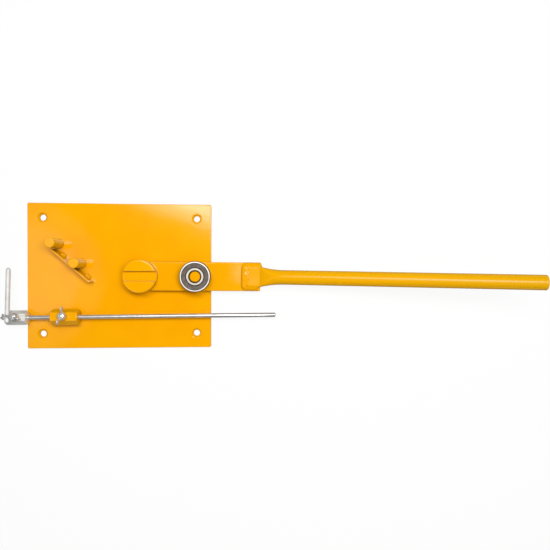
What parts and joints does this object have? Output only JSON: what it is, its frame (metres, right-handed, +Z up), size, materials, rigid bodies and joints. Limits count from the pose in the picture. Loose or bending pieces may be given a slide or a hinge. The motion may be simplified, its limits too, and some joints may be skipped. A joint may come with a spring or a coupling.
{
  "type": "wire bender",
  "caption": "Bolt-down wire bender: a roller lever swings round a slotted mandrel past pins and a rib, and a sliding gauge rod with a finger stop sets the length.",
  "frame": {"origin": "centre of the base plate's underside, in the middle of its four bolt holes", "axes": "+X along the lever towards the handle, +Y away from the gauge rod, +Z up out of the plate"},
  "size_m": [0.7181, 0.2, 0.1062],
  "materials": {
    "yellow_paint": "semi-gloss signal yellow paint over steel",
    "weld_paint": "the same paint over rippled weld beads",
    "zinc": "zinc-plated steel, satin",
    "bright_rod": "bright drawn and plated steel",
    "bearing_steel": "ground bearing steel",
    "plain_steel": "plain oiled steel",
    "seal_rubber": "moulded dark grey rubber"
  },
  "bodies": {
    "base": {"base_plate": "yellow_paint", "pivot_mandrel": "yellow_paint", "pivot_weld": "weld_paint", "thrust_washer": "plain_steel", "outer_pin": "yellow_paint", "inner_pin": "yellow_paint", "pin_welds": "weld_paint", "wire_rib": "yellow_paint", "rib_welds": "weld_paint", "rod_holder": "yellow_paint", "holder_welds": "weld_paint"},
    "lever": {"lever_arm": "yellow_paint", "roller_pin": "yellow_paint", "roller_pin_weld": "weld_paint", "roller_spacer": "yellow_paint", "bearing_inner_ring": "bearing_steel", "handle_tube": "yellow_paint", "handle_cap": "yellow_paint", "handle_weld": "weld_paint"},
    "roller": {"bearing_outer_ring": "bearing_steel", "upper_seal": "seal_rubber", "lower_seal": "seal_rubber"},
    "ball_set": {"bearing_balls": "bearing_steel", "bearing_cage": "plain_steel"},
    "rod": {"gauge_rod": "bright_rod"},
    "stop": {"stop_sleeve": "zinc", "stop_finger": "bright_rod", "finger_welds": "zinc"},
    "holder_screw": {"holder_wing_screw": "zinc"},
    "stop_screw": {"stop_wing_screw": "zinc"}
  },
  "joints": [
    {"name": "lever_swing", "type": "hinge", "parent": "base", "child": "lever", "pos_m": [0.0295, 0, 0.0115], "axis": [0, 0, 1], "range_deg": [-10, 145]},
    {"name": "roller_spin", "type": "hinge", "parent": "lever", "child": "roller", "pos_m": [0.1045, -0.00033, 0.0261], "axis": [0, 0, 1], "continuous": true},
    {"name": "ball_set_spin", "type": "hinge", "parent": "lever", "child": "ball_set", "pos_m": [0.1045, -0.00033, 0.0261], "axis": [0, 0, 1], "continuous": true},
    {"name": "rod_slide", "type": "slide", "parent": "base", "child": "rod", "axis": [1, 0.0079, 0], "range_m": [-0.25, 0.01]},
    {"name": "stop_slide", "type": "slide", "parent": "rod", "child": "stop", "axis": [1, 0.0079, 0], "range_m": [-0.006, 0.02]},
    {"name": "holder_screw_turn", "type": "hinge", "parent": "base", "child": "holder_screw", "pos_m": [-0.071, -0.056, 0.01531], "axis": [-0.0014, 0.1736, 0.9848], "range_deg": [-30, 360]},
    {"name": "stop_screw_turn", "type": "hinge", "parent": "stop", "child": "stop_screw", "pos_m": [-0.133, -0.05649, 0.01531], "axis": [-0.0011, 0.1392, 0.9903], "range_deg": [-30, 360]}
  ],
  "couplings": [
    {"joint": "ball_set_spin", "follows": "roller_spin", "ratio": 0.6386}
  ]
}
